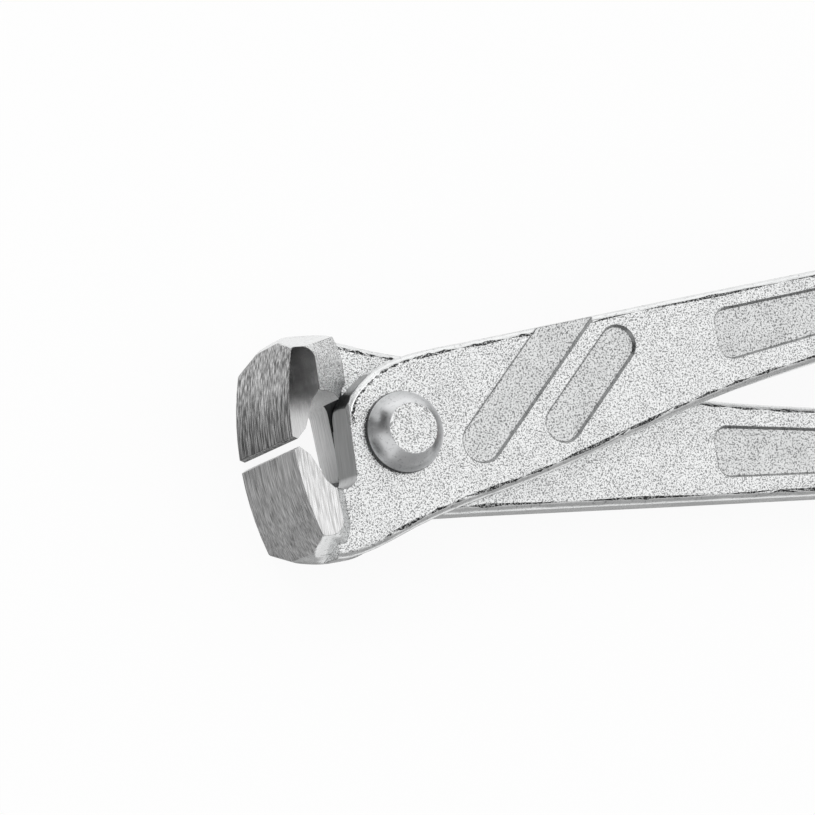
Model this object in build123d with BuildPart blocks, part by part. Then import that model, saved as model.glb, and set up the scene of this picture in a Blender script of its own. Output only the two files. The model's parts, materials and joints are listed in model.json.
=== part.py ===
"""Rebar tying pliers, also called concreters' nippers, in millimetres.

Two drop-forged levers cross in a lap joint and turn on one rivet. Each lever is a handle on one side of the
pivot and a jaw on the other, and the second lever is the first one turned over. The end of each handle is dipped
in plastic.

The tool lies flat. The origin is on the pivot axis, on the flat of the lower rivet head, which is level with the
cheeks of the jaws. X runs along the tool towards the handles, Z is the pivot axis.
A lever is drawn in its own frame first: pivot axis at the origin, lap face on Z = 0, jaws closed on Y = 0.
"""

import os
from itertools import accumulate
from math import atan, degrees

from build123d import *

# The whole tool
tool_length = 300.0
jaw_width = 25.0
rest_opening = 3.3
overrun = 3.0

# The lap joint
plate_thickness = 8.0
lap_clearance = 0.1
edge_clearance = 0.1
swing_radius = 12.6
shank_radius = 5.0
running_clearance = 0.05
seat_clearance = 0.05

# The rivet heads
head_radius = 7.15
head_flat_radius = 4.4
head_foot_round = 0.4
head_crown_share = 0.62

# The jaw, seen along the pivot axis
jaw_thickness = 8.8
front_lean = 1.9
front_bulge = 0.75
bevel_width = 0.9
bevel_drop = 0.5
jaw_depth = 19.4
jaw_toe_rise = 1.9
hollow_wall_inset = 3.15
hollow_wall_lean = 1.46
hollow_depth = 7.9
hollow_corner_radius = 2.6
edge_land = 1.7
inner_slope_run = 3.7
inner_slope_drop = 6.4
inner_step = 1.3

# The jaw, seen along the tool
crown_drop = 3.8
toe_round = 0.8

# The cheeks and the back of the jaw
cheek_length = 5.3
cheek_run = 3.0
cheek_rise = 3.8
cheek_end_round = 2.4
ridge_height = 4.0

# The outline of the lever round the joint
shoulder_height = 13.4
belly_rise = 3.3

# The handle, as its width at six places along it and the rise of its outer edge from one place to the next
neck_rise = 1.05
neck_width = 25.9
panel_rise = 2.1
panel_width = 18.55
arm_rise = 1.25
arm_width = 16.05
grip_rise = 2.2
grip_width = 13.4
middle_rise = 2.6
middle_width = 11.4
end_rise = 3.9
end_width = 11.0
handle_end_radius = 5.0
edge_round = 1.4
handle_x_shares = (0.085, 0.2325, 0.3265, 0.465, 0.657, 1.0)

# The step that brings both handles into the middle plane
step_start_share = 0.435
step_end_share = 0.545

# The recesses forged into the faces
recess_depth = 0.7
recess_taper = 25.0
recess_angle = 42.0
slot_width = 7.6
slot_end_x = 14.5
slot_end_drop = 3.7
stadium_width = 7.0
stadium_length = 25.4
stadium_x = 37.55
stadium_y = 3.4
panel_margin = 3.15
panel_top_rise = 2.8
panel_height = 10.3
panel_end_height = 7.2
panel_lap_drop = 0.6
panel_corner_radius = 3.1
panel_end_share = 0.419

# The dipped grips
grip_wall = 1.9
grip_round = 4.2
grip_start_share = 0.475

# Places that follow from the sizes above
jaw_half = jaw_width / 2
lap_height = jaw_half
lap_face = lap_clearance / 2
cut_line = edge_clearance / 2
tip_reach = swing_radius + jaw_thickness
hollow_wall_reach = swing_radius - hollow_wall_inset
front_x = tip_reach + bevel_width
handle_reach = tool_length - front_x - grip_wall
toe_x = front_x - front_lean - front_bulge
jaw_toe_depth = jaw_depth - jaw_toe_rise
belly_depth = jaw_depth - belly_rise
cheek_reach = tip_reach - cheek_length
cheek_depth = jaw_depth - cheek_rise
ridge_reach = cheek_reach - jaw_half + ridge_height
stations = [handle_reach * share for share in handle_x_shares]
rises = (neck_rise, panel_rise, arm_rise, grip_rise, middle_rise, end_rise)
outer_heights = [shoulder_height + climb for climb in accumulate(rises)]
neck_outer, panel_outer = outer_heights[:2]
handle_widths = [neck_width, panel_width, arm_width, grip_width, middle_width, end_width]
outer_points = list(zip(stations, outer_heights))
inner_points = [(x, y - width) for x, y, width in zip(stations, outer_heights, handle_widths)]
step_start = handle_reach * step_start_share
step_end = handle_reach * step_end_share
grip_start = handle_reach * grip_start_share

# The round end of the lap, as shares of the swing radius and the shoulder height
wall_top = (-0.78 * swing_radius, 0.22 * swing_radius)
disc_shares = ((-0.525, 0.665), (-0.215, 0.855), (0.365, 1.0), (0.98, 1.04))
disc_points = [(x * swing_radius, y * shoulder_height) for x, y in disc_shares]

# The back of the jaw, as shares of the tip's reach and the jaw's depth
belly_shares = ((-0.41, 0.964), (-0.60, 1.0), (-0.775, 0.99))
belly_points = [(x * tip_reach, -y * jaw_depth) for x, y in belly_shares]
toe = (-toe_x, -jaw_toe_depth)


def band(half_thickness, x_low, x_high):
    """The side view of a handle: flat over the lap, then stepped into the middle plane."""
    near_lap = plate_thickness / 2 + half_thickness
    far_lap = plate_thickness / 2 + lap_face - half_thickness
    with BuildLine() as side:
        Line((x_low, near_lap), (step_start, near_lap))
        Spline((step_start, near_lap), (step_end, half_thickness), tangents=((1, 0), (1, 0)))
        Polyline(
            (step_end, half_thickness), (x_high, half_thickness), (x_high, -half_thickness), (step_end, -half_thickness)
        )
        Spline((step_end, -half_thickness), (step_start, far_lap), tangents=((-1, 0), (-1, 0)))
        Polyline((step_start, far_lap), (x_low, far_lap), (x_low, near_lap))
    return side.line


# The hollow behind the cutting edge, milled through both cheeks
with BuildSketch() as hollow:
    with BuildLine():
        slope_top = (-tip_reach + edge_land, -edge_land)
        slope_foot = (-tip_reach + inner_slope_run, -inner_slope_drop)
        floor_start = (-tip_reach + inner_slope_run + inner_step, -hollow_depth)
        wall_foot = (-hollow_wall_reach - hollow_wall_lean / 2, -hollow_depth)
        wall_head = (-hollow_wall_reach + hollow_wall_lean / 2, shoulder_height)
        Polyline(
            (-tip_reach, -cut_line),
            slope_top,
            slope_foot,
            floor_start,
            wall_foot,
            wall_head,
            (-tip_reach, shoulder_height),
            close=True,
        )
    make_face()
    fillet(hollow.vertices().sort_by_distance(wall_foot)[0], hollow_corner_radius)

# The flat of the lever: the lap, the handle and the middle layer of the jaw
with BuildPart() as plate:
    with BuildSketch(Plane.XY.offset(-plate_thickness)) as plate_outline:
        with BuildLine():
            along_top = (stations[1] - stations[0], panel_rise)
            along_bottom = (-stations[0], neck_width - neck_outer - belly_depth)
            Spline(wall_top, *disc_points, outer_points[0], tangents=((0, 1), along_top))
            outer_edge = Spline(*outer_points, tangents=(along_top, (1, 0)))
            inner_edge = Spline(*reversed(inner_points), tangents=((-1, 0), along_bottom))
            Spline(inner_points[0], (0, -belly_depth), *belly_points, toe, tangents=(along_bottom, (-1, 1)))
            Line(outer_edge @ 1, inner_edge @ 0)
            Polyline(toe, (-toe_x, wall_top[1]), wall_top)
        make_face()
        with Locations((-cheek_reach, 0)):
            Rectangle(tool_length + cheek_reach, tool_length, align=(Align.MIN, Align.CENTER), mode=Mode.INTERSECT)
        end_corners = plate_outline.vertices().group_by(Axis.X)[-1]
        fillet(end_corners, handle_end_radius)
    extrude(amount=2 * plate_thickness)
    with BuildSketch(Plane.XZ):
        add(band(plate_thickness / 2, -front_x, handle_reach + overrun))
        make_face()
    extrude(amount=tool_length, both=True, mode=Mode.INTERSECT)
    rims = plate.edges().filter_by(Axis.Z, reverse=True).filter_by(Axis.Y, reverse=True)
    rims = rims.filter_by(lambda rim: (rim @ 0.5).X > -ridge_reach)
    fillet(rims, edge_round)

# The room the jaw may fill: an upright middle, and a cheek on each side that slopes away from its flat
with BuildPart() as cheeks:
    for face_height, foot_height, run in (
        (jaw_half, plate_thickness, cheek_run),
        (-jaw_half, -ridge_height, jaw_half - ridge_height),
    ):
        foot_reach = cheek_reach - run
        foot_depth = cheek_depth + run
        slope = degrees(atan(run / abs(face_height - foot_height)))
        with BuildSketch(Plane.XY.offset(foot_height)) as foot:
            with Locations((-foot_reach, -foot_depth)):
                Rectangle(tool_length, tool_length, align=(Align.MAX, Align.MIN))
            foot_corner = foot.vertices().sort_by_distance((-foot_reach, -foot_depth, foot_height))[0]
            fillet(foot_corner, cheek_end_round + run)
        extrude(amount=face_height - foot_height, taper=slope)
        extrude(foot.sketch, amount=plate_thickness / 2 - foot_height)

# The block that carries the cutting edge across the full width of the tool
with BuildPart() as jaw:
    with BuildSketch(Plane.XY.offset(-jaw_half)):
        with BuildLine():
            Line((-tip_reach, -cut_line), (-front_x, -bevel_drop))
            front_middle = (-front_x + front_lean / 2 - front_bulge / 2, -jaw_toe_depth / 2)
            ThreePointArc((-front_x, -bevel_drop), front_middle, toe)
            Spline(toe, *reversed(belly_points), (-ridge_reach, -jaw_toe_depth))
            Polyline((-ridge_reach, -jaw_toe_depth), (-ridge_reach, -cut_line), (-tip_reach, -cut_line))
        make_face()
    extrude(amount=jaw_width)
    with BuildSketch(Plane.YZ):
        with BuildLine():
            Polyline(
                (overrun, jaw_half),
                (-jaw_depth + crown_drop, jaw_half),
                (-jaw_depth, 0),
                (-jaw_depth + crown_drop, -jaw_half),
                (overrun, -jaw_half),
                close=True,
            )
        make_face()
    extrude(amount=front_x + overrun, both=True, mode=Mode.INTERSECT)
    add(cheeks.part, mode=Mode.INTERSECT)
    front_face = jaw.faces().filter_by(GeomType.CYLINDER).sort_by(SortBy.AREA)[-1]
    fillet(front_face.edges().filter_by(lambda edge: (edge @ 0.5).Y < -cheek_depth), toe_round)

# One forging, finished on both faces
with BuildPart() as lever:
    add(plate.part)
    add(jaw.part)
    # The swing of the other lever's round end clears the back of the jaw
    with BuildSketch(Plane.XY.offset(lap_face)):
        Circle(swing_radius)
    extrude(amount=-jaw_width, mode=Mode.SUBTRACT)
    extrude(hollow.sketch, amount=jaw_width, both=True, mode=Mode.SUBTRACT)
    # The slanted slot, open at the handle's outer edge, and the stadium beside it
    near_face = Plane.XY.offset(plate_thickness)
    slot_run = shoulder_height * 3
    with BuildSketch(near_face):
        with Locations(Location((slot_end_x, -slot_end_drop), recess_angle)):
            Circle(slot_width / 2)
            Rectangle(slot_run, slot_width, align=(Align.MIN, Align.CENTER))
        with Locations(Location((stadium_x, stadium_y), recess_angle)):
            SlotOverall(stadium_length, stadium_width)
    extrude(amount=-recess_depth, taper=recess_taper, mode=Mode.SUBTRACT)
    # The long panel on each face of the handle, cut from just off the face
    panel_start = stations[1]
    panel_end = handle_reach * panel_end_share
    near_start = plate_thickness + recess_depth
    lap_start = lap_face - recess_depth
    for start_height, drop, run in ((near_start, 0, -2 * recess_depth), (lap_start, panel_lap_drop, 2 * recess_depth)):
        with BuildSketch(Plane.XY.offset(start_height)) as panel:
            with BuildLine():
                first_top = panel_outer - panel_margin - drop
                last_top = first_top + panel_top_rise
                Polyline(
                    (panel_start, first_top),
                    (panel_start, first_top - panel_height),
                    (panel_end, last_top - panel_end_height),
                    (panel_end, last_top),
                    close=True,
                )
            make_face()
            fillet(panel.vertices(), panel_corner_radius)
        extrude(amount=run, taper=recess_taper, mode=Mode.SUBTRACT)

# The front lever: upper handle, lower jaw, near half of the lap, free to turn on the rivet
with BuildPart() as front_lever:
    with Locations(Location((0, 0, lap_height), (0, 0, rest_opening / 2))):
        add(lever.part)
    with Locations((0, 0, lap_height)):
        Hole(shank_radius + running_clearance)
front_lever.part.label = "front_lever"

# The rear lever: the same forging turned over, tight on the rivet
with BuildPart() as rear_lever:
    with Locations(Location((0, 0, lap_height), (0, 0, -rest_opening / 2))):
        add(lever.part, rotation=(180, 0, 0))
    with Locations((0, 0, lap_height)):
        Hole(shank_radius)
rear_lever.part.label = "rear_lever"

# The rivet: a shank through both levers and a truncated dome on each side
with BuildPart() as rivet:
    head_foot = plate_thickness + seat_clearance
    head_height = jaw_half - head_foot
    with BuildSketch(Plane.XZ):
        with BuildLine():
            foot_inner = (head_radius - head_foot_round, head_foot)
            foot_outer = (head_radius, head_foot + head_foot_round)
            crown_x = head_radius - (head_radius - head_flat_radius) * (1 - head_crown_share)
            crown_point = (crown_x, head_foot + head_height * head_crown_share)
            Polyline((0, 0), (shank_radius, 0), (shank_radius, head_foot), foot_inner, foot_outer)
            ThreePointArc(foot_outer, crown_point, (head_flat_radius, jaw_half))
            Polyline((head_flat_radius, jaw_half), (0, jaw_half), (0, 0))
        make_face()
    revolve(axis=Axis.Z)
    mirror(about=Plane.XY)
with BuildPart() as pivot_rivet:
    with Locations((0, 0, lap_height)):
        add(rivet.part)
pivot_rivet.part.label = "pivot_rivet"

# A grip: the handle's own outline grown by the wall, and rounded for the hand
with BuildPart() as grip:
    half_grip = plate_thickness / 2 + grip_wall
    grip_stations = stations[:-1] + [handle_reach + grip_wall]
    grip_outer_points = [(x, y + grip_wall) for x, y in zip(grip_stations, outer_heights)]
    grip_inner_points = [(x, y - width - 2 * grip_wall) for (x, y), width in zip(grip_outer_points, handle_widths)]
    with BuildSketch(Plane.XY.offset(-jaw_half)) as grip_outline:
        with BuildLine():
            grip_top = Spline(*grip_outer_points, tangents=(along_top, (1, 0)))
            grip_bottom = Spline(*reversed(grip_inner_points), tangents=((-1, 0), along_bottom))
            Line(grip_top @ 1, grip_bottom @ 0)
            Line(grip_bottom @ 1, grip_top @ 0)
        make_face()
        fillet(grip_outline.vertices().group_by(Axis.X)[-1], handle_end_radius + grip_wall)
        with Locations((grip_start, 0)):
            Rectangle(tool_length, tool_length, align=(Align.MIN, Align.CENTER), mode=Mode.INTERSECT)
    extrude(amount=jaw_width)
    with BuildSketch(Plane.XZ):
        add(band(half_grip, 0, handle_reach + overrun))
        make_face()
    extrude(amount=tool_length, both=True, mode=Mode.INTERSECT)
    long_edges = grip.edges().filter_by(Axis.Z, reverse=True)
    fillet(long_edges.filter_by(lambda edge: (edge @ 0.5).X > grip_start + grip_wall), grip_round)
    add(plate.part, mode=Mode.SUBTRACT)

with BuildPart() as front_grip:
    with Locations(Location((0, 0, lap_height), (0, 0, rest_opening / 2))):
        add(grip.part)
front_grip.part.label = "front_grip"

with BuildPart() as rear_grip:
    with Locations(Location((0, 0, lap_height), (0, 0, -rest_opening / 2))):
        add(grip.part, rotation=(180, 0, 0))
rear_grip.part.label = "rear_grip"

os.makedirs("parts", exist_ok=True)
export_step(front_lever.part, "parts/front_lever.step")
export_step(rear_lever.part, "parts/rear_lever.step")
export_step(pivot_rivet.part, "parts/pivot_rivet.step")
export_step(front_grip.part, "parts/front_grip.step")
export_step(rear_grip.part, "parts/rear_grip.step")
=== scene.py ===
"""Rebar tying pliers: two forged, zinc-plated levers on one rivet, with dipped plastic grips.

The levers are drop forgings. Their skin is pebbled from the die and from blasting, and bright from zinc
plating. The jaws are ground on their fronts and cheeks and milled behind the cutting edges.

Meshes and the stage are in metres, in the row's own frame: X along the tool, Z along the pivot, the flat of
the lower rivet head on Z = 0. Sizes whose names end in mm are in millimetres, and so are the sizes of the
levers and of the rivet.
"""

import json
import logging
import math
from dataclasses import dataclass, field
from enum import Enum

import bmesh
import bpy
from bpy.types import Material, Mesh, Node, NodeSocket, NodeTree, Object, World
from mathutils import Matrix, Vector

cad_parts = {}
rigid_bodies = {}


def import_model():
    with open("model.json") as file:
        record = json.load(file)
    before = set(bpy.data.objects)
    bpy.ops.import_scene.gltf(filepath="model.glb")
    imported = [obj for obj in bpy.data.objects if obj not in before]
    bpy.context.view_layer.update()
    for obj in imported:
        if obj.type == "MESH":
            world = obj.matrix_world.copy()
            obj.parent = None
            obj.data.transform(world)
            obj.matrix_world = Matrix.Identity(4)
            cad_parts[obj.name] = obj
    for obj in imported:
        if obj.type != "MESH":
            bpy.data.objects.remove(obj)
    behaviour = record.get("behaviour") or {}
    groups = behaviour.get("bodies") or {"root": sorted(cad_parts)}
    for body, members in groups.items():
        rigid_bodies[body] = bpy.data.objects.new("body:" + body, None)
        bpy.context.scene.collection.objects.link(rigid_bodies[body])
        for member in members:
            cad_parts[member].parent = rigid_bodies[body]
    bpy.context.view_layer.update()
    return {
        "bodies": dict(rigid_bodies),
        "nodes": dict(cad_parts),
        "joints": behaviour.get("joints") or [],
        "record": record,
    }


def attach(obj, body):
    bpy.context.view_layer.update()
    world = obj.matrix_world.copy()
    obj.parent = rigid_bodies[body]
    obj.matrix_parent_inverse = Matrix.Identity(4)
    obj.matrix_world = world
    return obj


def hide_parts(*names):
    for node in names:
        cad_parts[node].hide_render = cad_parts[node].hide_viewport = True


LOG = logging.getLogger("pliers")

# One millimetre, in metres
MM = 0.001
WHITE = (1.0, 1.0, 1.0, 1.0)

# Points that are closer than this are one point
WELD_MM = 0.0005


class Surface(Enum):
    """How a patch of a lever was finished, or which painted shade it gets. The value is the patch's material
    index.
    """

    FORGED = 0
    RECESS = 1
    GROUND_FRONT = 2
    GROUND_CHEEK = 3
    MILLED = 4
    RIM = 5
    # A ragged line of painted shade where the trimmed rim meets the skin
    TRIM_STEP_SHADE = 6
    DIE_WALL = 7
    # The seat's floor between the levers, dark as painted shade
    SHADED_LAP_FACE = 8
    # Dark as painted shade in the crevice between the levers
    NOSE = 9


class RivetSurface(Enum):
    """How a patch of the rivet was finished, or that it gets painted contact shade. The value is the patch's
    material index.
    """

    DOME = 0
    FLAT = 1
    # Dark as painted contact shade against the lever
    FOOT = 2


def colour(code: str) -> tuple[float, float, float, float]:
    """Turn an sRGB hex code into a linear colour, by the curve of the sRGB standard.

    Args:
        code: Six hex digits, with or without a leading hash.

    Returns:
        Linear red, green and blue, and an alpha of 1.
    """
    digits = code.lstrip("#")
    channels = [int(digits[i : i + 2], 16) / 255 for i in (0, 2, 4)]
    linear = [c / 12.92 if c <= 0.04045 else ((c + 0.055) / 1.055) ** 2.4 for c in channels]
    return (*linear, 1.0)


def per_metre(size_mm: float) -> float:
    """Return the texture scale whose features are about size_mm apart."""
    return 1 / (size_mm * MM)


def empty_tree(owner: Material | World) -> NodeTree:
    """Give a material or the world a node tree without nodes.

    Args:
        owner: What gets the tree.

    Returns:
        The tree.
    """
    owner.use_nodes = True
    owner.node_tree.nodes.clear()
    return owner.node_tree


def add_node(tree: NodeTree, kind: str, links: dict | None = None, **settings: str | int) -> Node:
    """Add a node with its settings, socket values and links.

    Args:
        tree: The tree that gets the node.
        kind: The node's type name.
        links: Input name or index, to an output socket or a plain value.
        **settings: Properties of the node itself.

    Returns:
        The new node.
    """
    node = tree.nodes.new(kind)
    for name, value in settings.items():
        setattr(node, name, value)
    for name, value in (links or {}).items():
        if isinstance(value, NodeSocket):
            tree.links.new(value, node.inputs[name])
        else:
            node.inputs[name].default_value = value
    return node


def noise(
    tree: NodeTree,
    place: NodeSocket,
    scale: float,
    detail: float,
    roughness: float = 0.5,
    distortion: float = 0.0,
) -> NodeSocket:
    """Add a noise texture.

    Args:
        tree: The tree that gets it.
        place: Where on the piece it is read.
        scale: How many features there are to a unit of place.
        detail: How many finer layers lie on the first one.
        roughness: How strong the finer layers are.
        distortion: How far the features are bent.

    Returns:
        The noise, from 0 to 1.
    """
    layers = {"Detail": detail, "Roughness": roughness, "Distortion": distortion}
    return add_node(tree, "ShaderNodeTexNoise", {"Vector": place, "Scale": scale, **layers}).outputs["Fac"]


def bump(
    tree: NodeTree, height: NodeSocket, depth_mm: float, normal: NodeSocket | None = None
) -> NodeSocket:
    """Add relief to a surface.

    Args:
        tree: The tree that gets it.
        height: The relief, from 0 to 1.
        depth_mm: Height from its lowest to its highest place.
        normal: The normal to build on. Without it the relief builds on the piece's own.

    Returns:
        The bumped normal.
    """
    inputs = {"Strength": 1.0, "Distance": depth_mm * MM, "Height": height}
    if normal is not None:
        inputs["Normal"] = normal
    return add_node(tree, "ShaderNodeBump", inputs).outputs["Normal"]


def map_range(
    tree: NodeTree,
    value: NodeSocket,
    source: tuple[float, float],
    target: tuple[float, float] = (0.0, 1.0),
    **settings: str,
) -> NodeSocket:
    """Add a node that turns one range of values into another and holds what is outside at the ends.

    Args:
        tree: The tree that gets it.
        value: The value to turn.
        source: The range that the value comes from.
        target: The range that it goes to.
        **settings: Properties of the node itself.

    Returns:
        The turned value.
    """
    limits = {"From Min": source[0], "From Max": source[1], "To Min": target[0], "To Max": target[1]}
    return add_node(tree, "ShaderNodeMapRange", {"Value": value, **limits}, **settings).outputs["Result"]


def combine(tree: NodeTree, operation: str, first: NodeSocket, second: NodeSocket | float) -> NodeSocket:
    """Add a node that makes one value of two.

    Args:
        tree: The tree that gets it.
        operation: The name of the Math node's operation.
        first: The first value.
        second: The second value.

    Returns:
        The result.
    """
    return add_node(tree, "ShaderNodeMath", {0: first, 1: second}, operation=operation).outputs["Value"]


def mix_colours(tree: NodeTree, share: NodeSocket, first: str, second: str) -> NodeSocket:
    """Add a mix of two colours.

    Args:
        tree: The tree that gets it.
        share: How much of the second colour there is, from 0 to 1.
        first: Hex code of the first colour.
        second: Hex code of the second colour.

    Returns:
        The mixed colour.
    """
    inputs = {"Factor": share, "A": colour(first), "B": colour(second)}
    return add_node(tree, "ShaderNodeMix", inputs, data_type="RGBA").outputs["Result"]


@dataclass(frozen=True)
class Streaks:
    """Grinding or milling lines that run along the Y axis, across the tool.

    Attributes:
        pitch_mm: Distance between lines.
        length_mm: How far one line runs.
        depth_mm: Height from crest to valley.
        contrast: How dark the valleys are, from 0 to 1.
        softness: How gently crest turns into valley, from 0 to 0.4.
        level: How much of the metal is valley, from 0 to 1.
    """

    pitch_mm: float
    length_mm: float
    depth_mm: float
    contrast: float = 0.5
    softness: float = 0.15
    level: float = 0.47

    def add_to(self, tree: NodeTree, place: NodeSocket, normal: NodeSocket) -> tuple[NodeSocket, NodeSocket]:
        """Add the tool marks.

        Args:
            tree: The material's tree.
            place: Object coordinates.
            normal: The normal to build on.

        Returns:
            The bumped normal, and a socket that is 1 on clean metal and lowest in the darkest line.
        """
        across, along = per_metre(self.pitch_mm), per_metre(self.length_mm)
        stretch = {"Vector": place, "Scale": (across, along, across)}
        stretched = add_node(tree, "ShaderNodeMapping", stretch).outputs["Vector"]
        lines = noise(tree, stretched, scale=1.0, detail=3.0)
        fade = (self.level - self.softness, self.level + self.softness)
        shade = map_range(tree, lines, fade, (1 - self.contrast, 1.0))
        return bump(tree, lines, self.depth_mm, normal), shade


@dataclass(frozen=True)
class Pebbles:
    """The skin that blasting and a worn die leave on a forging: small pits between bright, rounded grains.

    Attributes:
        grain_mm: Distance between pits.
        depth_mm: Depth of a pit.
        drift_mm: Distance between the broad, shallow waves under the grains.
        drift_depth_mm: Height of those waves.
        pit_level: How much of the skin is pitted, from 0 to 1.
        contrast: How dark the pits are, from 0 to 1.
        pit_fade: How gently a pit turns into a grain, from 0 to 1.
    """

    grain_mm: float
    depth_mm: float
    drift_mm: float = 2.4
    drift_depth_mm: float = 0.012
    pit_level: float = 0.5
    contrast: float = 0.8
    pit_fade: float = 0.14

    def add_to(self, tree: NodeTree, place: NodeSocket, normal: NodeSocket) -> tuple[NodeSocket, NodeSocket]:
        """Add the pebbled skin.

        Args:
            tree: The material's tree.
            place: Object coordinates.
            normal: The normal to build on.

        Returns:
            The bumped normal, and a socket that is 1 on a grain and lowest in the deepest pit.
        """
        grains = noise(tree, place, per_metre(self.grain_mm), detail=1.0, roughness=0.4, distortion=0.7)
        waves = noise(tree, place, per_metre(self.drift_mm), detail=2.0)
        fade = (self.pit_level - self.pit_fade, self.pit_level)
        clean = map_range(tree, grains, fade, interpolation_type="SMOOTHSTEP")
        shade = map_range(tree, clean, (0.0, 1.0), (1 - self.contrast, 1.0))
        broad = bump(tree, waves, self.drift_depth_mm, normal)
        return bump(tree, grains, self.depth_mm, broad), shade


@dataclass(frozen=True)
class SteelFinish:
    """One finish of the zinc-plated steel.

    Attributes:
        name: The material's name.
        light: Colour of clean, bright metal.
        dark: Colour of pits and tool lines.
        roughness: Lowest and highest roughness.
        relief: The forged skin or the tool marks.
        edge_mm: Radius to which its sharp edges are broken.
        edge_shade_and_scale: How dark the thin line along its sharp edges and in its corners is, from 0 to
            1: painted shade, with some scale.
        cloud_mm: Distance between the clouds in which the plating is duller.
        worn_clouds: The range of the cloud noise from full wear to none.
        worn_shade: How bright the most worn plating is, from 0 to 1.
        rough_clouds: The range of the cloud noise from the lowest roughness to the highest.
        edge_turn: How alike a facet's own normal and the rounded one are, from the edge to open metal.
    """

    name: str
    light: str
    dark: str
    roughness: tuple[float, float]
    relief: Pebbles | Streaks
    edge_mm: float = 0.12
    edge_shade_and_scale: float = 0.7
    cloud_mm: float = 5.0
    worn_clouds: tuple[float, float] = (0.3, 0.55)
    worn_shade: float = 0.86
    rough_clouds: tuple[float, float] = (0.3, 0.7)
    edge_turn: tuple[float, float] = (0.9, 0.992)

    def material(self) -> Material:
        """Return the finish's material, which is made once and shared."""
        return bpy.data.materials.get(self.name) or self.make()

    def make(self) -> Material:
        """Build the node material.

        Returns:
            The material.
        """
        material = bpy.data.materials.new(self.name)
        tree = empty_tree(material)
        place = add_node(tree, "ShaderNodeTexCoord").outputs["Object"]
        rounding = add_node(tree, "ShaderNodeBevel", {"Radius": self.edge_mm * MM}, samples=4)
        soft_edge = rounding.outputs["Normal"]
        normal, clean = self.relief.add_to(tree, place, soft_edge)
        cloud = noise(tree, place, per_metre(self.cloud_mm), detail=4.0, roughness=0.6)
        worn = map_range(tree, cloud, self.worn_clouds, (self.worn_shade, 1.0))
        shade = combine(tree, "MULTIPLY", clean, worn)
        # Painted shade, with some scale, along sharp edges and in corners
        shade = combine(tree, "MULTIPLY", shade, self.away_from_edges(tree, soft_edge))
        inputs = {
            "Base Color": mix_colours(tree, shade, self.dark, self.light),
            "Metallic": 1.0,
            "Roughness": map_range(tree, cloud, self.rough_clouds, self.roughness),
            "Normal": normal,
        }
        shader = add_node(tree, "ShaderNodeBsdfPrincipled", inputs)
        add_node(tree, "ShaderNodeOutputMaterial", {"Surface": shader.outputs["BSDF"]})
        return material

    def away_from_edges(self, tree: NodeTree, soft_edge: NodeSocket) -> NodeSocket:
        """Paint the thin line of shade, with some scale, that runs along sharp edges and in corners.

        Args:
            tree: The material's tree.
            soft_edge: The normal that is rounded at the edges.

        Returns:
            A socket that is 1 on open metal and falls to 1 less the painted edge shade along an edge.
        """
        own = add_node(tree, "ShaderNodeNewGeometry").outputs["Normal"]
        alike = add_node(tree, "ShaderNodeVectorMath", {0: own, 1: soft_edge}, operation="DOT_PRODUCT")
        return map_range(tree, alike.outputs["Value"], self.edge_turn, (1 - self.edge_shade_and_scale, 1.0))


# Forged, blasted and zinc-plated: bright, with small dull pits between the grains
FORGED_SKIN = SteelFinish(
    "zinc_plated_forging",
    light="F8F9F9",
    dark="4A4B4C",
    roughness=(0.22, 0.34),
    relief=Pebbles(0.27, 0.07, pit_level=0.52, contrast=0.75),
    edge_mm=0.3,
    edge_shade_and_scale=0.8,
)
# The recesses' flat floors: the same skin, a little coarser and duller, with a strong line of painted shade
# along their walls
RECESS_SKIN = SteelFinish(
    "zinc_plated_recess",
    light="E6E7E7",
    dark="444546",
    roughness=(0.26, 0.38),
    relief=Pebbles(0.3, 0.085, 1.6, 0.03, pit_level=0.51, contrast=0.75),
    edge_mm=0.25,
    edge_shade_and_scale=0.95,
)
# The recesses' drafted walls: smooth from the die, and dark grey as painted shade, with some scale in their
# corners
DIE_WALL = SteelFinish(
    "die_drafted_wall",
    light="A6A7A7",
    dark="202122",
    roughness=(0.24, 0.34),
    relief=Pebbles(0.5, 0.01, pit_level=0.42, contrast=0.5),
    edge_mm=0.15,
    edge_shade_and_scale=0.95,
)
# Trimmed and tumbled rims: smooth plating with few pits
RIM_SKIN = SteelFinish(
    "zinc_plated_rim",
    light="E6E7E7",
    dark="8A8B8C",
    roughness=(0.2, 0.3),
    relief=Pebbles(0.5, 0.015, 3.0, 0.02, pit_level=0.4, contrast=0.5),
    edge_mm=0.45,
    edge_shade_and_scale=0.25,
)
# Where the trimmed rim meets the die's skin: a ragged dark line of painted shade, the shading of the small
# step there
TRIM_STEP_SHADE = SteelFinish(
    "trim_step_shade",
    light="B4B5B5",
    dark="141516",
    roughness=(0.3, 0.45),
    relief=Pebbles(0.34, 0.08, pit_level=0.62, contrast=0.95),
    edge_mm=0.1,
    edge_shade_and_scale=0.4,
)
# One jaw's ground front: lines that run from the cutting edge to the back
GROUND_FRONT = SteelFinish(
    "ground_jaw_front",
    light="F0F0F0",
    dark="3C3C3C",
    roughness=(0.24, 0.36),
    relief=Streaks(0.3, 7.0, 0.022, contrast=0.85, softness=0.2),
)
# The other jaw's front, which came off a coarser wheel
COARSE_FRONT = SteelFinish(
    "coarse_ground_front",
    light="DCDCDC",
    dark="161616",
    roughness=(0.2, 0.32),
    relief=Streaks(0.34, 5.5, 0.04, contrast=0.95, softness=0.13, level=0.54),
    edge_mm=0.25,
)
# The first jaw's ground cheeks: brighter than its front, with finer lines
GROUND_CHEEK = SteelFinish(
    "ground_jaw_cheek",
    light="FAFAFA",
    dark="8C8C8C",
    roughness=(0.16, 0.24),
    relief=Streaks(0.24, 4.0, 0.008, contrast=0.6, softness=0.14),
)
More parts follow.
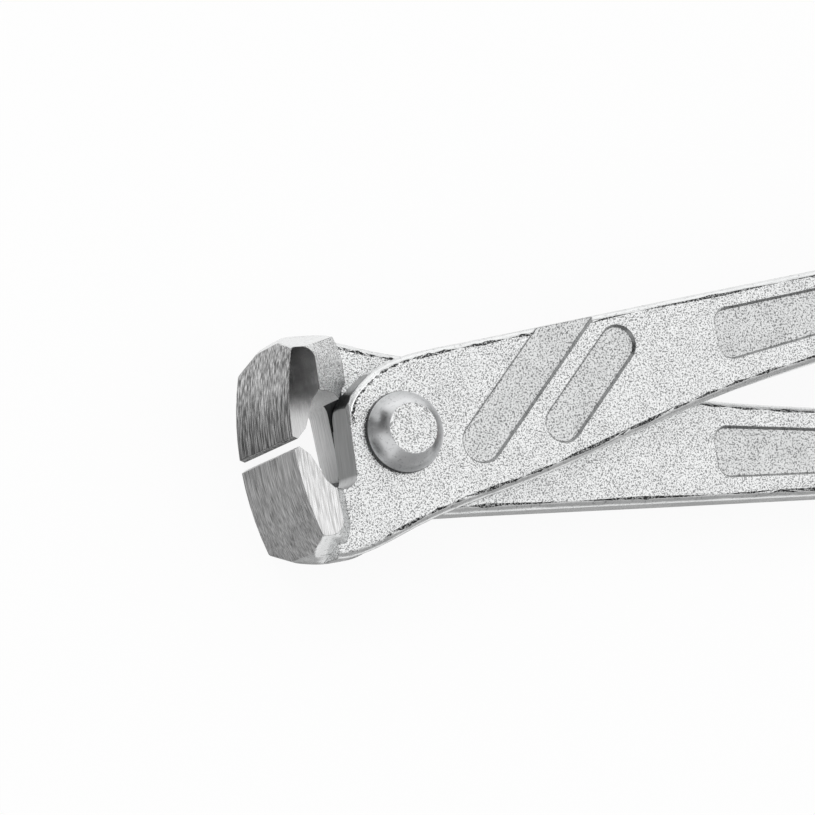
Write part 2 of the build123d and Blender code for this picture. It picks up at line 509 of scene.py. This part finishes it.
# The other jaw's cheeks, ground with a finer wheel
FINE_CHEEK = SteelFinish(
    "fine_ground_cheek",
    light="DEDEDE",
    dark="B0B0B0",
    roughness=(0.06, 0.09),
    relief=Streaks(0.2, 4.0, 0.0006, contrast=0.3),
)
# The first lever's milled hollow and swing seat: smooth, and grey as painted shade, the shaded copy of the
# milled steel
MILLED_FACE = SteelFinish(
    "milled_hollow",
    light="C4C5C5",
    dark="808181",
    roughness=(0.3, 0.4),
    relief=Streaks(0.4, 12.0, 0.003, contrast=0.4),
)
# The other lever's hollow and seat: the lit copy of the same milled steel, brighter as painted light
BRIGHT_MILLED = SteelFinish(
    "bright_milled_hollow",
    light="F8F8F8",
    dark="B0B1B1",
    roughness=(0.6, 0.7),
    relief=Streaks(0.3, 8.0, 0.006, contrast=0.4),
)
# The floor of the swing seat, on which the other lever slides: milled, and dark as painted shade between the
# two levers
SHADED_LAP_FACE = SteelFinish(
    "shaded_lap_face",
    light="4A4B4C",
    dark="1E1F20",
    roughness=(0.3, 0.4),
    relief=Streaks(0.4, 12.0, 0.003, contrast=0.4),
)
# The plate's nose beside the hollow: dark as painted shade in the crevice between the levers
NOSE_SHADE = SteelFinish(
    "shaded_nose",
    light="8E8F90",
    dark="2A2B2C",
    roughness=(0.3, 0.4),
    relief=Streaks(0.4, 3.0, 0.02, contrast=0.8),
)
# The rivet: pressed and tumbled, a satin dome
RIVET_DOME = SteelFinish(
    "plated_rivet_dome",
    light="D6D7D8",
    dark="76777A",
    roughness=(0.28, 0.36),
    relief=Pebbles(0.4, 0.008, 3.0, 0.004, pit_level=0.42, contrast=0.4),
)
# The foot of the rivet's head, dark as painted contact shade against the lever
RIVET_FOOT_SHADE = SteelFinish(
    "rivet_foot_shade",
    light="5A5B5C",
    dark="1A1B1C",
    roughness=(0.3, 0.4),
    relief=Pebbles(0.7, 0.01, pit_level=0.42, contrast=0.5),
)


@dataclass(frozen=True)
class DippedPlastic:
    """Soft vinyl that a handle is dipped in: satin, with an orange-peel skin, flow marks and dull scuffs.

    Attributes:
        name: The material's name.
        body: Its colour where it is thick.
        thin: Its colour where it ran thin or is scuffed.
        peel_mm: Distance between the waves of its skin.
        peel_depth_mm: Height of those waves.
        grain_mm: Distance between the fine specks of its skin.
        grain_depth_mm: Height of those specks.
        flow_mm: Distance between the broad marks that the plastic left as it ran down.
        flow_stretch_share: Scale of those marks along the handle, as a share of that across it.
        thin_flow: The range of the flow noise from thick plastic to thin.
        dull_flow: The range of the flow noise from the lowest roughness to the highest.
        roughness: Lowest and highest roughness.
    """

    name: str = "dipped_vinyl"
    body: str = "B82A2A"
    thin: str = "CC3A36"
    peel_mm: float = 1.4
    peel_depth_mm: float = 0.05
    grain_mm: float = 0.35
    grain_depth_mm: float = 0.012
    flow_mm: float = 7.0
    flow_stretch_share: float = 0.3
    thin_flow: tuple[float, float] = (0.4, 0.68)
    dull_flow: tuple[float, float] = (0.35, 0.7)
    roughness: tuple[float, float] = (0.32, 0.58)

    def make(self) -> Material:
        """Build the node material.

        Returns:
            The material.
        """
        material = bpy.data.materials.new(self.name)
        tree = empty_tree(material)
        place = add_node(tree, "ShaderNodeTexCoord").outputs["Object"]
        peel = noise(tree, place, per_metre(self.peel_mm), detail=2.0)
        grain = noise(tree, place, per_metre(self.grain_mm), detail=1.0)
        stretch = {"Vector": place, "Scale": (self.flow_stretch_share, 1.0, 1.0)}
        stretched = add_node(tree, "ShaderNodeMapping", stretch).outputs["Vector"]
        flow = noise(tree, stretched, per_metre(self.flow_mm), detail=5.0)
        skin = bump(tree, peel, self.peel_depth_mm)
        inputs = {
            "Base Color": mix_colours(tree, map_range(tree, flow, self.thin_flow), self.body, self.thin),
            "Roughness": map_range(tree, flow, self.dull_flow, self.roughness),
            "IOR": 1.5,
            "Normal": bump(tree, grain, self.grain_depth_mm, skin),
        }
        shader = add_node(tree, "ShaderNodeBsdfPrincipled", inputs)
        add_node(tree, "ShaderNodeOutputMaterial", {"Surface": shader.outputs["BSDF"]})
        return material


def mark_creases(shape: bmesh.types.BMesh, crease_deg: float) -> None:
    """Shade every facet smooth, and keep the sharp edges crisp.

    Args:
        shape: The mesh, which is changed.
        crease_deg: Edges sharper than this stay crisp.
    """
    for facet in shape.faces:
        facet.smooth = True
    for edge in shape.edges:
        edge.smooth = edge.calc_face_angle(0.0) < math.radians(crease_deg)


def own_copy(node: Object, name: str, crease_deg: float, cut: tuple[Vector, Vector] | None = None) -> Object:
    """Copy a CAD node as one welded mesh with crisp edges and smooth fillets.

    Args:
        node: The node's object.
        name: The new piece's name.
        crease_deg: Edges sharper than this stay crisp.
        cut: A point and a direction of a plane that facets are split at, so that the painted shade on the
            seat's floor ends there.

    Returns:
        The new object, at the origin.
    """
    mesh = bpy.data.meshes.new(name)
    shape = bmesh.new()
    shape.from_mesh(node.data)
    bmesh.ops.remove_doubles(shape, verts=shape.verts, dist=WELD_MM * MM)
    if cut:
        parts = [*shape.verts, *shape.edges, *shape.faces]
        bmesh.ops.bisect_plane(shape, geom=parts, dist=WELD_MM * MM, plane_co=cut[0], plane_no=cut[1])
    mark_creases(shape, crease_deg)
    shape.to_mesh(mesh)
    shape.free()
    if "custom_normal" in mesh.attributes:
        mesh.attributes.remove(mesh.attributes["custom_normal"])
    piece = bpy.data.objects.new(name, mesh)
    bpy.context.scene.collection.objects.link(piece)
    return piece


def keep_flats_flat(piece: Object, weight: int = 100) -> None:
    """Give a piece normals that follow its large facets, so that its flats shade flat up to their rims.

    Args:
        piece: The piece. Its mesh is exchanged for one that holds its own normals.
        weight: How much more a large facet counts than a small one, up to 100.
    """
    weighting = piece.modifiers.new("flats_first", "WEIGHTED_NORMAL")
    weighting.mode = "FACE_AREA"
    weighting.weight = weight
    weighting.keep_sharp = True
    graph = bpy.context.evaluated_depsgraph_get()
    finished = bpy.data.meshes.new_from_object(piece.evaluated_get(graph), depsgraph=graph)
    finished.name = piece.data.name + "_shaded"
    piece.modifiers.remove(weighting)
    piece.data = finished


@dataclass
class ForgedLever:
    """One forging: handle, half of the lap and jaw. All sizes are in its own frame, in millimetres.

    In that frame the pivot is the Z axis, the plane of the lap is Z = 0, the handle runs along +X and the
    jaw in front of the pivot lies below Y = 0, with its cutting edge at the top. A name that ends in facing
    holds a bound for one part of a facet's unit normal: the part along Z, but for the front the part along X
    and for the crown the part along Y.

    Attributes:
        node: The CAD node it stands for.
        body: The body it rides on.
        turned_over: True for the lever that lies upside down.
        front: How its jaw's front is ground.
        cheek: How its jaw's two cheeks are ground.
        hollow: How the hollow behind its cutting edge and the wall of its swing seat are milled.
        rest_half_angle: How far the lever is turned from the row's X axis at rest, in degrees.
        crease_deg: Edges sharper than this stay crisp.
        lap_height: Height of the lap's plane in the row's frame.
        cheek_height: Level facets further than this from the lap's plane are on a ground cheek.
        face_height: Height of the plate's outer face.
        recess_depth: Depth of the recesses in both faces of the plate.
        recess_start: X beyond which the recesses lie.
        front_reach: How far in front of the pivot the ground front starts.
        edge_strip: Width of the ground strip along the cutting edge.
        hollow_wall_reach: How far in front of the pivot the hollow starts.
        hollow_depth: How far below the cutting edge facets can be in the hollow.
        hollow_top: Y up to which upright facets belong to the hollow.
        seat_radius: Radius of the seat in which the other lever's round end swings.
        dark_floor_start: How far in front of the pivot the painted shade on the seat's floor starts.
        nose_back: X in front of which facets can be on the plate's nose.
        nose_start: Y from which rims are on the nose.
        nose_foot: Y from which the nose is dark with painted shade.
        nose_rim: How far below the outer face the shaded part of the nose starts.
        crown_foot: How far below the cutting edge the crown starts.
        rim_start: How far in front of the pivot the rims of the plate start.
        step_start: X at which the step to the middle plane starts, and the painted shade line at the trimmed
            rim ends.
        slack: How far from its named place a milled facet may be.
        floor_slack: The same for the floor of a recess.
        wall_slack: How far above its floor a recess's wall starts.
        face_slack: How far below the outer face the rims of the nose start.
        upright_facing: Facets below this are upright.
        level_facing: Facets above this are level.
        floor_facing: Facets above this can be the floor of a recess.
        wall_facing: Facets between these can be the drafted wall of a recess.
        rim_facing: Facets below this can be on a rim.
        trim_facing: Facets between the rim's bound and this can be on the painted shade line at the trimmed
            rim.
        front_facing: Facets that point forward by more than this are on the ground front.
        crown_facing: Facets that point down the jaw by more than this are on the crown.
        piece: The finished forging.
    """

    node: str
    body: str
    turned_over: bool
    front: SteelFinish
    cheek: SteelFinish
    hollow: SteelFinish
    rest_half_angle: float = 1.65
    crease_deg: float = 38
    lap_height: float = 12.5
    cheek_height: float = 12.4
    face_height: float = 8.0
    recess_depth: float = 0.7
    recess_start: float = 5.0
    front_reach: float = 19.3
    edge_strip: float = 0.6
    hollow_wall_reach: float = 9.0
    hollow_depth: float = 8.0
    hollow_top: float = 6.0
    seat_radius: float = 12.6
    dark_floor_start: float = 6.8
    nose_back: float = -3.0
    nose_start: float = 1.0
    nose_foot: float = 4.8
    nose_rim: float = 0.9
    crown_foot: float = 15.6
    rim_start: float = 7.6
    step_start: float = 112.0
    slack: float = 0.1
    floor_slack: float = 0.05
    wall_slack: float = 0.03
    face_slack: float = 0.01
    upright_facing: float = 0.3
    level_facing: float = 0.95
    floor_facing: float = 0.99
    wall_facing: tuple[float, float] = (0.415, 0.43)
    rim_facing: float = 0.93
    trim_facing: float = 0.988
    front_facing: float = 0.7
    crown_facing: float = 0.5
    piece: Object | None = field(init=False, default=None)

    def to_own_frame(self) -> Matrix:
        """Work out where the lever lies.

        Returns:
            The matrix from the row's frame, in metres, to the lever's own frame, in millimetres.
        """
        turn = self.rest_half_angle if self.turned_over else -self.rest_half_angle
        matrix = Matrix.Rotation(math.radians(turn), 4, "Z") @ Matrix.Translation((0, 0, -self.lap_height))
        matrix = matrix @ Matrix.Scale(1 / MM, 4)
        if self.turned_over:
            matrix = Matrix.Rotation(math.pi, 4, "X") @ matrix
        return matrix

    def finishes(self) -> dict[Surface, SteelFinish]:
        """Return the finish of each kind of patch."""
        return {
            Surface.FORGED: FORGED_SKIN,
            Surface.RECESS: RECESS_SKIN,
            Surface.GROUND_FRONT: self.front,
            Surface.GROUND_CHEEK: self.cheek,
            Surface.MILLED: self.hollow,
            Surface.RIM: RIM_SKIN,
            Surface.TRIM_STEP_SHADE: TRIM_STEP_SHADE,
            Surface.DIE_WALL: DIE_WALL,
            Surface.SHADED_LAP_FACE: SHADED_LAP_FACE,
            Surface.NOSE: NOSE_SHADE,
        }

    def surface_at(self, centre: Vector, normal: Vector) -> Surface:
        """Tell how the forging was finished at one facet.

        Args:
            centre: The facet's middle, in the lever's own frame.
            normal: Its normal, in the same frame.

        Returns:
            The finish.
        """
        facing = abs(normal.z)
        if facing > self.level_facing and abs(centre.z) > self.cheek_height:
            return Surface.GROUND_CHEEK
        if facing > self.level_facing and self.on_seat_floor(centre):
            return Surface.SHADED_LAP_FACE
        if facing < self.upright_facing and self.on_ground_front(centre, normal):
            return Surface.GROUND_FRONT
        if facing < self.upright_facing and self.on_milled_wall(centre):
            return Surface.MILLED
        depth = min(centre.z, self.face_height - centre.z)
        if centre.x > self.recess_start:
            if facing > self.floor_facing and abs(depth - self.recess_depth) < self.floor_slack:
                return Surface.RECESS
            drafted = self.wall_facing[0] < facing < self.wall_facing[1]
            if drafted and 0 < depth < self.recess_depth - self.wall_slack:
                return Surface.DIE_WALL
        if facing < self.upright_facing and self.on_shaded_nose(centre):
            return Surface.NOSE
        if self.near_rim(centre, normal):
            if facing < self.rim_facing:
                return Surface.RIM
            if facing < self.trim_facing and centre.x < self.step_start:
                return Surface.TRIM_STEP_SHADE
        return Surface.FORGED

    def on_seat_floor(self, centre: Vector) -> bool:
        """Tell whether a level facet is on the swing seat's floor, where the levers slide, in front of where
        its painted shade starts.
        """
        in_seat = math.hypot(centre.x, centre.y) < self.seat_radius + self.slack
        return in_seat and abs(centre.z) < self.slack and centre.x < -self.dark_floor_start

    def on_ground_front(self, centre: Vector, normal: Vector) -> bool:
        """Tell whether an upright facet is on the jaw's front or on the land at its cutting edge."""
        forward = normal.x < -self.front_facing
        return centre.x < -self.front_reach and (forward or centre.y > -self.edge_strip)

    def on_milled_wall(self, centre: Vector) -> bool:
        """Tell whether an upright facet was milled.

        Args:
            centre: The facet's middle, in the lever's own frame.

        Returns:
            True in the hollow and on the wall of the swing seat.
        """
        in_hollow = -self.hollow_depth - self.slack < centre.y < self.hollow_top
        if in_hollow and centre.x < -self.hollow_wall_reach:
            return True
        from_seat = abs(math.hypot(centre.x, centre.y) - self.seat_radius)
        return from_seat < self.slack and centre.z < self.slack

    def on_shaded_nose(self, centre: Vector) -> bool:
        """Tell whether an upright facet is on the part of the plate's nose that is dark with painted shade.
        """
        on_nose = centre.x < self.nose_back and centre.y > self.nose_foot
        return on_nose and centre.z < self.face_height - self.nose_rim

    def near_rim(self, centre: Vector, normal: Vector) -> bool:
        """Tell whether a facet is where the rims were trimmed and tumbled.

        Args:
            centre: The facet's middle, in the lever's own frame.
            normal: Its normal, in the same frame.

        Returns:
            True on the plate and the handle, on the nose and on the crown.
        """
        on_plate = centre.x > -self.rim_start
        on_nose = centre.y > self.nose_start and centre.z < self.face_height - self.face_slack
        on_crown = centre.y < -self.crown_foot and normal.y < -self.crown_facing
        return on_plate or on_nose or on_crown

    def build(self, nodes: dict[str, Object]) -> list[Object]:
        """Make the welded copy and sort its facets by finish.

        Args:
            nodes: The CAD nodes by name.

        Returns:
            The forging, as the only piece of its list.
        """
        frame = self.to_own_frame()
        place = frame.inverted() @ Vector((-self.dark_floor_start, 0, 0))
        along = frame.to_3x3().transposed() @ Vector((1, 0, 0))
        self.piece = own_copy(nodes[self.node], self.node + "_forging", self.crease_deg, (place, along))
        finishes = self.finishes()
        for surface in Surface:
            self.piece.data.materials.append(finishes[surface].material())
        turn = frame.to_3x3().normalized()
        for facet in self.piece.data.polygons:
            facet.material_index = self.surface_at(frame @ facet.center, turn @ facet.normal).value
        keep_flats_flat(self.piece)
        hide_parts(self.node)
        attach(self.piece, self.body)
        return [self.piece]


@dataclass
class Rivet:
    """The pivot rivet. Its dome is smooth and its flat keeps the pebbled skin. Sizes are in millimetres.

    Attributes:
        node: The CAD node it stands for.
        body: The body it rides on.
        flat_height: How far each flat is from the middle, and how high the middle is in the row's frame.
        foot_height: How far the top of each head's foot, which is dark with painted contact shade, is from
            the middle.
        flat_slack: How far below the flat's height a facet of the flat may be.
        level_facing: Facets whose normal has more than this along Z are level.
        crease_deg: Edges sharper than this stay crisp.
    """

    node: str = "pivot_rivet"
    body: str = "rear_half"
    flat_height: float = 12.5
    foot_height: float = 8.8
    flat_slack: float = 0.01
    level_facing: float = 0.95
    crease_deg: float = 32

    def finishes(self) -> dict[RivetSurface, SteelFinish]:
        """Return the finish of each kind of patch."""
        return {RivetSurface.DOME: RIVET_DOME, RivetSurface.FLAT: FORGED_SKIN, RivetSurface.FOOT: RIVET_FOOT_SHADE}

    def surface_at(self, centre: Vector, normal: Vector) -> RivetSurface:
        """Tell how the rivet was finished at one facet.

        Args:
            centre: The facet's middle, in the row's frame.
            normal: Its normal.

        Returns:
            The finish.
        """
        height = abs(centre.z / MM - self.flat_height)
        if abs(normal.z) > self.level_facing and height > self.flat_height - self.flat_slack:
            return RivetSurface.FLAT
        return RivetSurface.FOOT if height < self.foot_height else RivetSurface.DOME

    def build(self, nodes: dict[str, Object]) -> list[Object]:
        """Make the welded copy and give flat, dome and foot their finishes.

        Args:
            nodes: The CAD nodes by name.

        Returns:
            The rivet, as the only piece of its list.
        """
        piece = own_copy(nodes[self.node], "rivet_heads", self.crease_deg)
        finishes = self.finishes()
        for surface in RivetSurface:
            piece.data.materials.append(finishes[surface].material())
        for facet in piece.data.polygons:
            facet.material_index = self.surface_at(facet.center, facet.normal).value
        keep_flats_flat(piece)
        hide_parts(self.node)
        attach(piece, self.body)
        return [piece]


@dataclass
class Grips:
    """The dipped sleeves. Their mouths are rounded, as plastic that ran and was trimmed is.

    Attributes:
        bodies: The body that each sleeve's node rides on.
        lip_mm: Radius of the mouth's edges.
        lip_steps: How many facets go round a mouth's edge.
        crease_deg: Edges sharper than this are rounded.
        flat_deg: Facets that turn by less than this are joined before the rounding.
        sliver_mm: Edges shorter than this are joined after it.
    """

    bodies: dict[str, str] = field(
        default_factory=lambda: {"front_grip": "front_half", "rear_grip": "rear_half"}
    )
    lip_mm: float = 0.45
    lip_steps: int = 3
    crease_deg: float = 50
    flat_deg: float = 0.5
    sliver_mm: float = 0.002

    def build(self, nodes: dict[str, Object]) -> list[Object]:
        """Make both sleeves with rounded lips and give them their plastic.

        Args:
            nodes: The CAD nodes by name.

        Returns:
            The two sleeves.
        """
        plastic = DippedPlastic().make()
        sleeves = []
        for name, body in self.bodies.items():
            piece = own_copy(nodes[name], name + "_sleeve", self.crease_deg)
            self.round_lips(piece.data)
            piece.data.materials.append(plastic)
            keep_flats_flat(piece)
            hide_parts(name)
            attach(piece, body)
            sleeves.append(piece)
        return sleeves

    def round_lips(self, mesh: Mesh) -> None:
        """Round the sharp edges of a sleeve.

        Args:
            mesh: The sleeve's mesh, which is changed.
        """
        shape = bmesh.new()
        shape.from_mesh(mesh)
        flat = math.radians(self.flat_deg)
        bmesh.ops.dissolve_limit(
            shape, angle_limit=flat, verts=shape.verts, edges=shape.edges, delimit={"SHARP"}
        )
        sharp = [edge for edge in shape.edges if edge.calc_face_angle(0.0) > math.radians(self.crease_deg)]
        bmesh.ops.bevel(
            shape,
            geom=sharp,
            offset=self.lip_mm * MM,
            segments=self.lip_steps,
            profile=0.5,
            affect="EDGES",
            clamp_overlap=True,
        )
        bmesh.ops.dissolve_degenerate(shape, edges=shape.edges, dist=self.sliver_mm * MM)
        bmesh.ops.triangulate(shape, faces=shape.faces)
        mark_creases(shape, self.crease_deg)
        shape.to_mesh(mesh)
        shape.free()


@dataclass(frozen=True)
class Card:
    """A studio card that only reflections see.

    Attributes:
        name: Its name.
        centre: Its middle, in metres.
        side: From its middle to the middle of one side, in metres.
        top: From its middle to the middle of its top, in metres.
        grey: How bright it is: 1 is the room's white.
    """

    name: str
    centre: tuple[float, float, float]
    side: tuple[float, float, float]
    top: tuple[float, float, float]
    grey: float


@dataclass
class Studio:
    """Camera, floor, light and cards. The camera stands where the photograph was taken. Sizes are in metres.

    Attributes:
        camera_at: The camera's place.
        right: The picture's right, as a direction.
        up: The picture's up, as a direction.
        lens_mm: Focal length for the sensor.
        sensor_mm: Width of the sensor.
        sight: The nearest and the furthest that the camera sees.
        room_light: How bright the white room is for rough surfaces. The camera and reflections see 1.
        floor_drop: How far the floor lies under the tool.
        floor_reach: How far the floor runs to each side.
        floor_paint: How white the floor is.
        floor_lift: How much of the floor the camera sees as pure white. The rest takes the shadow.
        lamp_at: The lamp's place.
        lamp_size: Its width and height.
        lamp_power: Its power, in watts.
        target: What it faces.
        cards: The cards round the tool.
    """

    camera_at: tuple[float, float, float] = (-0.2514316, -0.0655329, 0.5658334)
    right: tuple[float, float, float] = (0.90163708, -0.17349946, 0.39616729)
    up: tuple[float, float, float] = (0.11070711, 0.97807579, 0.17638504)
    lens_mm: float = 156.103
    sensor_mm: float = 36.0
    sight: tuple[float, float] = (0.01, 20.0)
    room_light: float = 0.85
    floor_drop: float = 0.0005
    floor_reach: float = 3.0
    floor_paint: float = 0.95
    floor_lift: float = 0.9
    lamp_at: tuple[float, float, float] = (-0.1, 0.5, 0.9)
    lamp_size: tuple[float, float] = (0.7, 0.5)
    lamp_power: float = 1.2
    target: tuple[float, float, float] = (0.02, 0.0, 0.0125)
    cards: tuple[Card, ...] = (
        Card("card_right", (0.75, 0.0, 0.02), (0.0, 0.45, 0.0), (0.0, 0.0, 0.2), 0.03),
        Card("card_left", (-0.5, 0.08, 0.62), (0.12, 0.0, 0.1), (0.0, 0.2, 0.0), 0.3),
        Card("card_front", (0.3, -0.8, 0.4), (0.8, 0.0, 0.0), (0.0, 0.0, 0.6), 0.4),
        Card("card_back", (-0.72, 0.5, 0.17), (0.22, 0.38, 0.0), (0.0, 0.0, 0.63), 0.05),
        Card("window", (0.15, 0.95, 0.17), (0.55, 0.0, 0.0), (0.0, 0.0, 0.17), 1.35),
        Card("card_below", (-0.01, -0.095, -0.4), (0.345, 0.0, 0.0), (0.0, 0.205, 0.0), 0.37),
        Card("flag_over_jaws", (0.085, 0.075, 0.325), (0.035, 0.0, 0.0), (0.0, 0.03, 0.0), 0.01),
    )

    def place_camera(self) -> None:
        """Make the camera and give it the photograph's view."""
        data = bpy.data.cameras.new("camera")
        data.sensor_width, data.lens = self.sensor_mm, self.lens_mm
        data.clip_start, data.clip_end = self.sight
        camera = bpy.data.objects.new("camera", data)
        bpy.context.scene.collection.objects.link(camera)
        right, up = Vector(self.right), Vector(self.up)
        turn = Matrix((right, up, right.cross(up))).transposed()
        camera.matrix_world = Matrix.Translation(self.camera_at) @ turn.to_4x4()
        bpy.context.scene.camera = camera

    def light_world(self) -> None:
        """Give the world a white background that the metal reflects too."""
        world = bpy.data.worlds.new("white_room")
        tree = empty_tree(world)
        rays = add_node(tree, "ShaderNodeLightPath").outputs
        seen = combine(tree, "MAXIMUM", rays["Is Camera Ray"], rays["Is Glossy Ray"])
        seen = combine(tree, "MAXIMUM", seen, rays["Is Transmission Ray"])
        strength = map_range(tree, seen, (0.0, 1.0), (self.room_light, 1.0))
        glow = add_node(tree, "ShaderNodeBackground", {"Color": WHITE, "Strength": strength})
        add_node(tree, "ShaderNodeOutputWorld", {"Surface": glow.outputs["Background"]})
        bpy.context.scene.world = world

    def sheet(self, name: str, centre: Vector, side: Vector, top: Vector, material: Material) -> Object:
        """Make a flat sheet of the stage.

        Args:
            name: Its name.
            centre: Its middle, in metres.
            side: From its middle to the middle of one side, in metres.
            top: From its middle to the middle of its top, in metres.
            material: Its material.

        Returns:
            The sheet's object.
        """
        mesh = bpy.data.meshes.new(name)
        corners = [centre + x * side + y * top for x, y in ((-1, -1), (1, -1), (1, 1), (-1, 1))]
        mesh.from_pydata(corners, [], [(0, 1, 2, 3)])
        mesh.materials.append(material)
        piece = bpy.data.objects.new(name, mesh)
        bpy.context.scene.collection.objects.link(piece)
        return piece

    def lay_floor(self) -> None:
        """Lay the white floor, which keeps a faint shadow."""
        material = bpy.data.materials.new("white_floor")
        tree = empty_tree(material)
        rays = add_node(tree, "ShaderNodeLightPath").outputs
        lift = combine(tree, "MULTIPLY", rays["Is Camera Ray"], self.floor_lift)
        paint_colour = (self.floor_paint, self.floor_paint, self.floor_paint, 1.0)
        paint = add_node(tree, "ShaderNodeBsdfDiffuse", {"Color": paint_colour})
        glow = add_node(tree, "ShaderNodeEmission", {"Color": WHITE, "Strength": 1.0})
        layers = {0: lift, 1: paint.outputs["BSDF"], 2: glow.outputs["Emission"]}
        mix = add_node(tree, "ShaderNodeMixShader", layers)
        add_node(tree, "ShaderNodeOutputMaterial", {"Surface": mix.outputs["Shader"]})
        centre = Vector((0, 0, -self.floor_drop))
        side, top = Vector((self.floor_reach, 0, 0)), Vector((0, self.floor_reach, 0))
        floor = self.sheet("floor", centre, side, top, material)
        floor.visible_glossy = False

    def stand_cards(self) -> None:
        """Stand the cards that give the steel its dark and bright reflections."""
        for card in self.cards:
            material = bpy.data.materials.new(card.name)
            tree = empty_tree(material)
            glow = add_node(tree, "ShaderNodeEmission", {"Color": WHITE, "Strength": card.grey})
            add_node(tree, "ShaderNodeOutputMaterial", {"Surface": glow.outputs["Emission"]})
            sheet = self.sheet(card.name, Vector(card.centre), Vector(card.side), Vector(card.top), material)
            sheet.visible_camera = sheet.visible_diffuse = sheet.visible_shadow = False
            sheet.visible_transmission = sheet.visible_volume_scatter = False

    def hang_lamp(self) -> None:
        """Hang one soft lamp over the tool, for the plastic's gloss and a gentle shadow."""
        data = bpy.data.lights.new("soft_lamp", "AREA")
        data.shape, data.energy = "RECTANGLE", self.lamp_power
        data.size, data.size_y = self.lamp_size
        lamp = bpy.data.objects.new("soft_lamp", data)
        bpy.context.scene.collection.objects.link(lamp)
        lamp.location = self.lamp_at
        lamp.rotation_euler = (Vector(self.target) - lamp.location).to_track_quat("-Z", "Y").to_euler()

    def build(self) -> None:
        """Set the whole stage."""
        self.place_camera()
        self.light_world()
        self.lay_floor()
        self.stand_cards()
        self.hang_lamp()
        bpy.context.scene.view_settings.view_transform = "Standard"


def main() -> None:
    """Build the stage and every piece."""
    logging.basicConfig(level=logging.INFO, format="%(message)s")
    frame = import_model()
    Studio().build()
    assemblies = (
        ForgedLever("front_lever", "front_half", False, GROUND_FRONT, GROUND_CHEEK, MILLED_FACE),
        ForgedLever("rear_lever", "rear_half", True, COARSE_FRONT, FINE_CHEEK, BRIGHT_MILLED),
        Rivet(),
        Grips(),
    )
    for assembly in assemblies:
        for piece in assembly.build(frame["nodes"]):
            LOG.info("built %s", piece.name)


if __name__ == "__main__":
    main()
